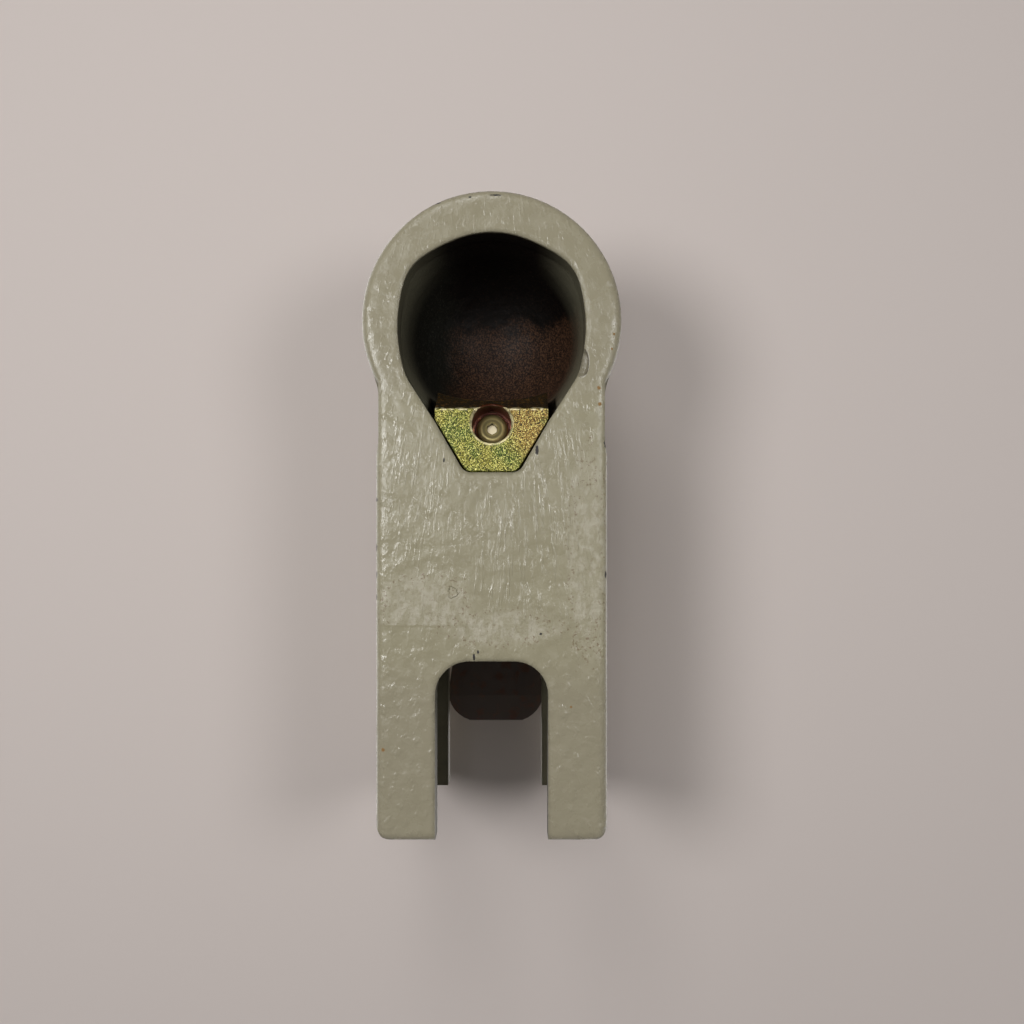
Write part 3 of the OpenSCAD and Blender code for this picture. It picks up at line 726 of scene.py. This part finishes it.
def plain_sheet(name, height, facing_up, reach):
    """A square sheet that reaches this many metres to each side."""
    corners = [(MIDDLE_X - reach, -reach, height), (MIDDLE_X + reach, -reach, height),
               (MIDDLE_X + reach, reach, height), (MIDDLE_X - reach, reach, height)]
    mesh = bpy.data.meshes.new(name)
    mesh.from_pydata(corners, [], [(0, 1, 2, 3) if facing_up else (3, 2, 1, 0)])
    mesh.materials.append(sheet_material(name))
    sheet = bpy.data.objects.new(name, mesh)
    bpy.context.scene.collection.objects.link(sheet)
    sheet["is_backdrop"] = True


plain_sheet("floor", rim - GAP, True, FLOOR_REACH)
plain_sheet("wall", lever_top + GAP, False, WALL_REACH)
print("two sheets placed")

# %% [markdown]
# The lamps are large and soft, at the level at which a colour renders about as it
# is written. Below the head, the strongest one is to the left of the picture,
# which rolls a bright line along the left edges as in the photograph, and a small
# one gives the crests of the paint their glints. Two very large ones stand far to
# the sides above the head, for the other views; from there they put no bright rim
# on the head in the view from below.

# %% Lamps
AIM = (MIDDLE_X, 0.0, 0.0)
LAMPS = [("lamp_low_left", (0.04, -0.37, -0.69), 0.27, 3.0),
         ("lamp_low_right", (0.04, 0.39, -0.69), 0.25, 1.6),
         ("lamp_low_front", (0.44, -0.12, -0.56), 0.3, 1.2),
         ("lamp_low_small", (-0.02, -0.07, -0.68), 0.06, 0.13),
         ("lamp_high_left", (0.12, -0.82, 0.75), 1.6, 8.0),
         ("lamp_high_back", (-0.5, 0.7, 0.7), 1.6, 6.0)]


def lamp(name, place, width, power):
    """A round lamp at this place in metres, aimed at the middle of the head."""
    light = bpy.data.lights.new(name, "AREA")
    light.shape = "DISK"
    light.size = width
    light.energy = power
    body = bpy.data.objects.new(name, light)
    bpy.context.scene.collection.objects.link(body)
    body.visible_camera = False
    body.location = place
    body.rotation_mode = "QUATERNION"
    body.rotation_quaternion = (Vector(AIM) - Vector(place)).to_track_quat("-Z", "Y")


for name, place, width, power in LAMPS:
    lamp(name, place, width, power)
print("lamps:", len(LAMPS))

# %% [markdown]
# The room gives a faint even light from all sides. A camera must not see it as
# dark, and plated metal has to mirror the pale sheets, so camera, glossy and
# transmission rays find the sheets' even tone there instead.

# %% The room's light
ROOM_TINT, ROOM_LIGHT = (1.0, 0.99, 0.97, 1.0), 0.135

world = bpy.data.worlds.new("plain")
world.use_nodes = True
tree = world.node_tree
dim = tree.nodes["Background"]
dim.inputs["Color"].default_value = ROOM_TINT
dim.inputs["Strength"].default_value = ROOM_LIGHT
pale = tree.nodes.new("ShaderNodeBackground")
pale.inputs["Color"].default_value = SHEET
pale.inputs["Strength"].default_value = EVEN_TONE
path = tree.nodes.new("ShaderNodeLightPath")
sees_pale = path.outputs["Is Camera Ray"]
for ray in ("Is Glossy Ray", "Is Transmission Ray"):
    either = tree.nodes.new("ShaderNodeMath")
    either.operation = "MAXIMUM"
    tree.links.new(sees_pale, either.inputs[0])
    tree.links.new(path.outputs[ray], either.inputs[1])
    sees_pale = either.outputs[0]
choice = tree.nodes.new("ShaderNodeMixShader")
tree.links.new(sees_pale, choice.inputs[0])
tree.links.new(dim.outputs[0], choice.inputs[1])
tree.links.new(pale.outputs[0], choice.inputs[2])
tree.links.new(choice.outputs[0], tree.nodes["World Output"].inputs["Surface"])
bpy.context.scene.world = world
print("room light", ROOM_LIGHT)

# %% [markdown]
# The camera looks straight up at the bottom face with the ball's end at the top
# of the picture. Its place and lens were found by laying the outline of the render
# over the photograph. The picture's own axes are written down and turned into the
# camera's, which is surer than typing three angles.

# %% The camera
CAMERA_BELOW_FACE = 0.291
EYE = (-0.0528, 0.0058, rim - CAMERA_BELOW_FACE)
SENSOR, LENS, NEAR = 36.0, 36.05, 0.01

camera_data = bpy.data.cameras.new("camera")
camera_data.sensor_width = SENSOR
camera_data.lens = LENS
camera_data.clip_start = NEAR
camera = bpy.data.objects.new("camera", camera_data)
bpy.context.scene.collection.objects.link(camera)
camera.location = EYE
camera.rotation_mode = "QUATERNION"
right, up, back = Vector((0, 1, 0)), Vector((1, 0, 0)), Vector((0, 0, -1))
camera.rotation_quaternion = Matrix((right, up, back)).transposed().to_quaternion()
bpy.context.scene.camera = camera
bpy.context.scene.view_settings.view_transform = "Standard"
print(f"camera {CAMERA_BELOW_FACE * 1000:.0f} mm in front of the bottom face")

# %% [markdown]
# Last, the size of the dressed object is measured and set beside the size of the
# bare solids. The two are measured in the same way, so any difference would be
# this script's own.

# %% Measure the sizes and finish
size_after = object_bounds()
({"before": [list(v) if hasattr(v, "__len__") else v for v in size_before],
           "after": [list(v) if hasattr(v, "__len__") else v for v in size_after]})
